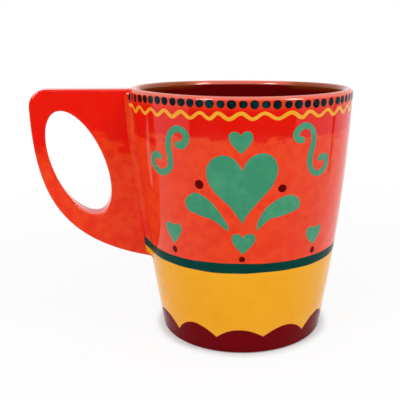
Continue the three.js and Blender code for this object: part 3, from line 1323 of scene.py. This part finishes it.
@dataclass
class Ornament:
    """The brushed ornament of the red wall: a thin film that follows the cup and the slip.

    It is drawn flat, with X round the cup at a guide radius, Z up and -Y off the wall. What makes
    it uneven, the press of the brush, a waver or a drift, is a size and the pace of its wave.
    """

    form: CupForm
    handle: SlabHandle
    guide: float = 44.0
    front: float = CAMERA_TURN
    back: float = math.radians(208)
    rise: float = 0.05
    crown: int = 5
    soft: float = 0.22
    soft_end: float = 0.5
    fold: float = 0.8
    full: float = 1.2
    bed: float = 0.15
    fine: int = 6
    cut_across: float = 1.3
    cut_up: float = 3.0
    cut_near: float = 1e-5
    root_half: float = math.radians(6.4)
    cap_steps: tuple[float, ...] = (1.0, 0.98, 0.9, 0.75, 0.5, 0.2)
    press: Point = (0.06, 3.0)
    dab_sides: int = 20
    dab_uneven: Triple = (0.05, 2.3, 3.1)
    scroll_rows: int = 6
    dot_height: float = 104.8
    dot_wide: float = 3.1
    dot_tall: float = 3.35
    dot_squeeze: Point = (0.25, 7.0)
    dot_pitch: float = 3.84
    dot_uneven: Point = (0.05, 2.9)
    dot_waver: Point = (0.08, 5.7)
    dot_drift: Point = (0.25, 14.3)
    wave_height: float = 100.65
    wave_swing: float = 1.05
    wave_stroke: float = 1.32
    wave_press: Point = (0.10, 4.1)
    wave_pitch: float = 3.9
    wave_spans: int = 10
    wave_rows: int = 4
    wave_drift: Point = (0.25, 0.6)

    @property
    def around(self) -> float:
        """Length round the cup at the guide radius."""
        return FULL_TURN * self.guide

    @property
    def behind(self) -> float:
        """How far round the far side's group lies from the front's."""
        return self.back * self.guide

    def wrap(self, bm: BMesh) -> None:
        """Lays flat film on the wall and gives it its thickness.

        Args:
            bm: The film.
        """
        for vert in bm.verts:
            x, y, z = vert.co
            vert.co = self.form.on_wall(self.front + x / self.guide, z, -y)
            if vert.co.x < 0:
                vert.co.x -= self.handle.slip_rise(abs(vert.co.y))
        bm.normal_update()
        bmesh.ops.solidify(bm, geom=bm.faces[:], thickness=self.bed)

    def repeat(self, bm: BMesh) -> None:
        """Draws the front's flat shapes once more for the far side.

        Args:
            bm: The shapes.
        """
        copy = bmesh.ops.duplicate(bm, geom=bm.verts[:] + bm.edges[:] + bm.faces[:])["geom"]
        verts = [v for v in copy if isinstance(v, BMVert)]
        bmesh.ops.translate(bm, vec=(self.behind, 0, 0), verts=verts)

    def fill(self, bm: BMesh, outline: Sequence[Point], soft: float) -> bmesh.types.BMFace:
        """Adds a flat filled shape with a soft brushed edge.

        Args:
            bm: Where it is added.
            outline: Its outline, against the clock.
            soft: Width of the soft edge.

        Returns:
            Its middle field.
        """
        face = bm.faces.new([bm.verts.new((x, 0, z)) for x, z in outline])
        face.normal_update()
        bmesh.ops.inset_region(
            bm, faces=[face], thickness=soft, depth=self.rise, use_even_offset=True,
            use_boundary=True,
        )
        return face

    def cut(self, bm: BMesh) -> None:
        """Parts flat film into small fields, so that it can follow the wall.

        Args:
            bm: The film.
        """
        for axis, pitch in ((0, self.cut_across), (2, self.cut_up)):
            ends = [v.co[axis] for v in bm.verts]
            low, high = min(ends), max(ends)
            normal = Vector((axis == 0, 0, axis == 2))
            for i in range(1, math.ceil((high - low) / pitch)):
                bmesh.ops.bisect_plane(
                    bm, geom=bm.verts[:] + bm.edges[:] + bm.faces[:], dist=self.cut_near,
                    plane_co=normal * (low + pitch * i), plane_no=normal,
                )

    def shapes(self, name: str, shapes: Sequence[Shape]) -> None:
        """Makes filled shapes on both sides of the cup.

        Args:
            name: The piece's name.
            shapes: What is drawn.
        """
        bm = bmesh.new()
        for shape in shapes:
            self.fill(bm, shape.outline(self.fine), self.soft)
        self.cut(bm)
        self.repeat(bm)
        self.wrap(bm)
        settle(bm, name, TEAL)

    def dabs(self, spots: Sequence[Spot]) -> BMesh:
        """Makes round dabs of the brush.

        Args:
            spots: Place round, place up, width and height of each.

        Returns:
            The dabs, laid on the wall.
        """
        bm = bmesh.new()
        turns = spread(0, FULL_TURN, self.dab_sides)[:-1]
        uneven, across, up = self.dab_uneven
        for i, (x, z, wide, tall) in enumerate(spots):
            wide *= (1 + uneven * math.sin(across * i)) / 2
            tall *= (1 + uneven * math.cos(up * i)) / 2
            outline = [(x + wide * math.cos(a), z + tall * math.sin(a)) for a in turns]
            field = self.fill(bm, outline, min(self.soft, self.soft_end * wide**2 / tall))
            bmesh.ops.poke(bm, faces=[field])
        self.wrap(bm)
        return bm

    def ribbon(
        self, bm: BMesh, line: Sequence[Point], width: Callable[[float], float], rows: int
    ) -> None:
        """Adds a flat brush stroke along a line.

        Args:
            bm: Where it is added.
            line: Points along its middle.
            width: Its width at a distance from its start.
            rows: Spans across it.
        """
        marks = [Vector(p) for p in line]
        walked = [0.0]
        for here, there in zip(marks, marks[1:]):
            walked.append(walked[-1] + (there - here).length)
        spans = len(marks) - 1
        bends = self.bends(marks)
        grid = bmesh.ops.create_grid(bm, x_segments=spans, y_segments=rows, size=1)
        for vert in grid["verts"]:
            i, v = round((vert.co.x + 1) / 2 * spans), vert.co.y
            ahead = (marks[min(i + 1, spans)] - marks[max(i - 1, 0)]).normalized()
            wide = width(walked[i])
            reach = v * wide / 2
            if reach * bends[i] > self.fold:
                reach = self.fold * abs(v) / bends[i]
            aside = Vector((-ahead.y, ahead.x)) * reach
            lift = self.rise * (1 - abs(v) ** self.crown) * min(1.0, wide / self.full)
            vert.co = (marks[i].x + aside.x, -lift, marks[i].y + aside.y)

    @staticmethod
    def bends(marks: Sequence[Vector]) -> list[float]:
        """How sharply a line bends to its left.

        Args:
            marks: Points along it.

        Returns:
            One over the radius at each point, below zero for a bend to the right.
        """
        bends = [0.0]
        for before, here, there in zip(marks, marks[1:], marks[2:]):
            came, goes = here - before, there - here
            turn = math.atan2(came.cross(goes), came.dot(goes))
            bends.append(2 * turn / (came.length + goes.length))
        return [*bends, 0.0]

    @staticmethod
    def face_front(bm: BMesh) -> None:
        """Turns flat film so that it faces away from the cup."""
        bm.normal_update()
        bmesh.ops.reverse_faces(bm, faces=[f for f in bm.faces if f.normal.y > 0])

    def capped(self, line: Sequence[Point], radius: float) -> list[Point]:
        """Lengthens a line at both ends for round caps.

        Args:
            line: The line.
            radius: How far it is lengthened.

        Returns:
            The longer line.
        """
        caps = []
        for tip, inner in (line[:2], line[:-3:-1]):
            out = (Vector(tip) - Vector(inner)).normalized() * radius
            caps.append([tuple(Vector(tip) + out * s) for s in self.cap_steps])
        return caps[0] + list(line) + caps[1][::-1]

    def pressed(self, along: float, stroke: float, length: float) -> float:
        """Width of a stroke with round ends and a light pressure of the brush.

        Args:
            along: Distance from its start.
            stroke: Its mean width.
            length: Its whole length.

        Returns:
            The width.
        """
        radius = stroke / 2
        end = min(along, length - along, radius)
        round_end = math.sqrt(max(0.0, 1 - (1 - end / radius) ** 2))
        share, pitch = self.press
        return stroke * round_end * (1 + share * math.sin(along / pitch))

    def scrolls(self) -> None:
        """The curled strokes on both sides of the heart."""
        bm = bmesh.new()
        for stroke, points in SCROLLS:
            line = self.capped(smooth_path(points, self.fine), stroke / 2)
            length = sum(math.dist(a, b) for a, b in zip(line, line[1:]))
            width = functools.partial(self.pressed, stroke=stroke, length=length)
            self.ribbon(bm, line, width, self.scroll_rows)
        bmesh.ops.remove_doubles(bm, verts=bm.verts, dist=MERGE)
        self.face_front(bm)
        self.repeat(bm)
        self.wrap(bm)
        settle(bm, "brushed_scrolls", TEAL)

    def root_span(self) -> Point:
        """Where the wall starts and ends, clear of the handle's root, as places round the guide."""
        start = (-QUARTER_TURN - self.front + self.root_half) * self.guide
        return start, start + self.around - 2 * self.root_half * self.guide

    def all_round(self, places: Sequence[float], pitch: float, even: bool) -> list[float]:
        """Carries a row of places on round the cup.

        Args:
            places: Places at the front.
            pitch: Distance between two places behind.
            even: Whether the row has an even number of places.

        Returns:
            The places all round, between the two sides of the handle's root.
        """
        start, end = self.root_span()
        gap = self.around - (places[-1] - places[0])
        more = round(gap / pitch)
        if even and (len(places) + more - 1) % 2:
            more += 1
        row = [*places, *(places[-1] + gap * i / more for i in range(1, more))]
        row = [x - self.around for x in row] + row + [x + self.around for x in row]
        return [x for x in row if start - 2 * pitch < x < end + 2 * pitch]

    def wave(self) -> None:
        """The wavy line under the dots, from one side of the handle's root to the other."""
        start, end = self.root_span()
        turns = self.all_round(WAVE_TURNS, self.wave_pitch, True)
        crest = turns.index(WAVE_TURNS[0]) % 2
        drift, phase = self.wave_drift
        line = []
        for i, (here, there) in enumerate(zip(turns, turns[1:])):
            swing = self.wave_swing if i % 2 == crest else -self.wave_swing
            for t in spread(0.0, 1.0, self.wave_spans)[:-1]:
                x = here + (there - here) * t
                z = self.wave_height + drift * math.sin(x / self.guide - phase)
                line.append((x, z - swing * math.cos(math.pi * t)))
        line = [p for p in line if start <= p[0] <= end]
        share, pitch = self.wave_press

        def width(along: float) -> float:
            """Width of the stroke at a distance from its start."""
            return self.wave_stroke * (1 + share * math.sin(along / pitch))

        bm = bmesh.new()
        self.ribbon(bm, line, width, self.wave_rows)
        self.face_front(bm)
        self.wrap(bm)
        settle(bm, "brushed_wave", WAVE_YELLOW)

    def border(self) -> None:
        """The row of dots under the rim."""
        start, end = self.root_span()
        least, full = self.dot_squeeze
        (uneven, size_pitch), (waver, waver_pitch) = self.dot_uneven, self.dot_waver
        drift, drift_pitch = self.dot_drift
        spots = []
        for i, x in enumerate(self.all_round(DOT_PLACES, self.dot_pitch, False)):
            if start < x < end:
                squeeze = least + (1 - least) * ease(min(x - start, end - x), 0.0, full)
                size = 1 + uneven * math.sin(size_pitch * i)
                z = self.dot_height + waver * math.sin(waver_pitch * i)
                z -= drift * math.sin(x / drift_pitch)
                spots.append((x, z, self.dot_wide * size * squeeze, self.dot_tall * size))
        settle(self.dabs(spots), "brushed_dots", DOT_GREEN)

    def berries(self) -> None:
        """The dark berries between the shapes."""
        both = [(x + side, z, d, d) for side in (0.0, self.behind) for x, z, d in BERRIES]
        settle(self.dabs(both), "brushed_berries", BERRY)

    def build(self) -> None:
        """Draws all of it."""
        self.border()
        self.wave()
        self.shapes("brushed_hearts", HEARTS)
        self.shapes("brushed_leaves", LEAVES)
        self.scrolls()
        self.berries()


@dataclass(frozen=True)
class Lamp:
    """A lamp that looks at the cup.

    Its turn is in degrees from the camera's side, its rise in degrees above the table, its sizes
    are in metres and its power in watts. A box only shows as a reflection in the gloss.
    """

    name: str
    turn: float
    rise: float
    wide: float
    tall: float
    power: float
    box: bool = False
    distance: float = 0.80


@dataclass(frozen=True)
class Card:
    """A dark card about the mug, like the room behind the camera.

    Its middle is at a turn in degrees from the camera's side, and it reaches half its width in
    degrees to either side, at a distance in metres. Its clouds are per metre, with their octaves.
    """

    name: str
    turn: float
    half: float
    distance: float
    height: float = 0.25
    colours: tuple[Colour, Colour] = ((0.006, 0.005, 0.005), (0.020, 0.016, 0.015))
    clouds: Point = (6.0, 1.0)
    cloudy: Point = (0.4, 0.6)
    roughness: float = 1.0


LAMPS = (
    Lamp("left_lamp", -40, 45, 0.15, 0.15, 1.5),
    Lamp("right_lamp", 58, 45, 0.15, 0.15, 1.5),
    Lamp("left_box", -40, 40, 0.16, 0.50, 7.0, True),
    Lamp("right_box", 58, 40, 0.16, 0.50, 7.0, True),
    Lamp("front_box", 9, 26, 1.10, 0.10, 4.0, True),
)
CARDS = (Card("dark_room", 0, 52, 0.42), Card("dark_edge", 100, 2.0, 0.28))


@dataclass
class Studio:
    """Floor, light and camera."""

    eye: Triple = (-0.04325, -0.25568, 0.12631)
    yaw: float = math.radians(13.65)
    pitch: float = 0.2570
    roll: float = 0.0035
    lens: float = 54.0
    sensor: float = 36.0
    shift: float = -0.0961
    nearest: float = 0.01
    level: float = 0.64
    aim: float = 0.05
    floor_size: float = 3.0
    floor_drop: float = 0.0001
    floor_colour: Colour = (0.93, 0.93, 0.93)
    floor_rough: float = 0.9
    contact: Point = (36.5, 41.5)
    contact_share: float = 0.25
    glow_from: Point = (100.0, 350.0)
    glow_share: Point = (0.89, 1.0)
    sheet_spans: int = 24
    dim: float = 0.30
    dim_half: float = 110.0
    dim_reach: Point = (0.05, 0.42)

    def camera(self) -> None:
        """The camera at the photograph's view, whose picture was cut out off the lens's middle."""
        data = bpy.data.cameras.new("camera")
        data.sensor_width = self.sensor
        data.lens = self.lens
        data.shift_x = self.shift
        data.clip_start = self.nearest
        level = math.cos(self.pitch)
        across, ahead = math.sin(self.yaw) * level, math.cos(self.yaw) * level
        look = Vector((across, ahead, -math.sin(self.pitch)))
        turn = look.to_track_quat("-Z", "Y").to_matrix() @ Matrix.Rotation(self.roll, 3, "Z")
        camera = show("camera", data)
        camera.matrix_world = Matrix.Translation(self.eye) @ turn.to_4x4()
        bpy.context.scene.camera = camera

    @staticmethod
    def place(turn: float, rise: float, distance: float) -> Vector:
        """A place about the cup.

        Args:
            turn: Degrees from the camera's side.
            rise: Degrees above the table.
            distance: Distance in metres.

        Returns:
            The place in the frame.
        """
        angle, up = CAMERA_TURN + math.radians(turn), math.radians(rise)
        level = distance * math.cos(up)
        x = CUP.axis_x * MM + level * math.sin(angle)
        return Vector((x, -level * math.cos(angle), distance * math.sin(up)))

    def world(self) -> None:
        """A white surround that lights the mug at a plain level."""
        world = bpy.data.worlds.new("surround")
        bpy.context.scene.world = world
        nodes = Nodes(world, "World Output")
        soft, white = nodes.tree.nodes["Background"], nodes.add("ShaderNodeBackground")
        for given, strength in ((soft, self.level), (white, 1.0)):
            nodes.feed(given.inputs["Color"], (1, 1, 1, 1))
            nodes.feed(given.inputs["Strength"], strength)
        nodes.cover(nodes.seen(), soft, white)

    @staticmethod
    def stand(name: str, bm: BMesh, desk: Desk) -> bpy.types.Object:
        """Adds an object of the stage.

        Args:
            name: Its name.
            bm: Its form, in metres. It is freed.
            desk: Its material's desk.

        Returns:
            The object.
        """
        thing = meshed(bm, name, desk.material)
        return thing

    def floor(self) -> None:
        """A floor nearly white to the eye by the mug, with a soft shadow, and white far off."""
        desk = Desk("floor_paper")
        desk.paint("Base Color", (*self.floor_colour, 1))
        desk.matte(self.floor_rough)
        away = desk.from_axis()
        by_foot = desk.step(away, self.contact, (self.contact_share, 1.0))
        share = desk.maths("MULTIPLY", by_foot, desk.step(away, self.glow_from, self.glow_share))
        share = desk.maths("MULTIPLY", desk.seen(), share)
        desk.cover(share, desk.shader, desk.add("ShaderNodeEmission"))
        bm = bmesh.new()
        bmesh.ops.create_grid(bm, x_segments=2, y_segments=2, size=self.floor_size)
        self.stand("floor", bm, desk).location.z = -self.floor_drop

    def sheet(self, desk: Desk, turn: float, half: float, reach: Point, up: Point) -> None:
        """Adds a bent sheet about the mug that only shows in the gloss.

        Args:
            desk: Its material's desk. It takes the material's name.
            turn: Degrees of its middle from the camera's side.
            half: Degrees that it reaches to either side.
            reach: Distance of its two long edges in metres.
            up: Height of its two long edges in metres.
        """
        bm = bmesh.new()
        bmesh.ops.create_grid(bm, x_segments=self.sheet_spans, y_segments=1, size=1)
        for vert in bm.verts:
            across, edge = vert.co.x, round((vert.co.y + 1) / 2)
            vert.co = self.place(turn + across * half, 0, reach[edge])
            vert.co.z = up[edge]
        thing = self.stand(desk.material.name, bm, desk)
        thing.visible_camera = thing.visible_diffuse = False
        thing.visible_shadow = thing.visible_transmission = False

    def card(self, card: Card) -> None:
        """Sets up a dark card.

        Args:
            card: The card.
        """
        desk = Desk(card.name)
        cloud = desk.ramp(desk.noise(*card.clouds), card.cloudy, (0.0, 1.0))
        desk.paint("Base Color", desk.blend(cloud, *card.colours))
        desk.matte(card.roughness)
        reach = (card.distance, card.distance)
        self.sheet(desk, card.turn, card.half, reach, (0.0, card.height))

    def apron(self) -> None:
        """The floor before the mug as the gloss sees it, dimmer towards the camera."""
        desk = Desk("dim_floor")
        aside, ahead = desk.towards(CAMERA_TURN + QUARTER_TURN), desk.towards(CAMERA_TURN)
        turn = desk.maths("ABSOLUTE", desk.maths("ARCTAN2", aside, ahead))
        level = desk.ramp(turn, (0.0, math.radians(self.dim_half)), (self.dim, 1.0))
        glow = desk.add("ShaderNodeEmission")
        desk.feed(glow.inputs["Strength"], level)
        desk.surface(glow)
        self.sheet(desk, 0, self.dim_half, self.dim_reach, (MM, MM))

    def light(self, given: Lamp) -> None:
        """Sets up a lamp.

        Args:
            given: The lamp.
        """
        data = bpy.data.lights.new(given.name, "AREA")
        data.shape = "RECTANGLE"
        data.size, data.size_y = given.wide, given.tall
        data.energy = given.power
        lamp = show(given.name, data)
        lamp.visible_diffuse = not given.box
        place = self.place(given.turn, given.rise, given.distance)
        look = Vector((CUP.axis_x * MM, 0, self.aim)) - place
        turn = look.to_track_quat("-Z", "Y").to_matrix()
        lamp.matrix_world = Matrix.Translation(place) @ turn.to_4x4()

    def build(self) -> None:
        """Sets it all up."""
        self.camera()
        self.world()
        self.floor()
        for card in CARDS:
            self.card(card)
        self.apron()
        for lamp in LAMPS:
            self.light(lamp)
        bpy.context.scene.view_settings.view_transform = "Standard"


def main() -> None:
    """Builds the mug and its studio."""
    logging.basicConfig(level=logging.INFO, format="%(name)s: %(message)s")
    handle = SlabHandle(CUP)
    for part in (Studio(), Coats(CUP), handle, Ornament(CUP, handle)):
        part.build()


if __name__ == "__main__":
    main()
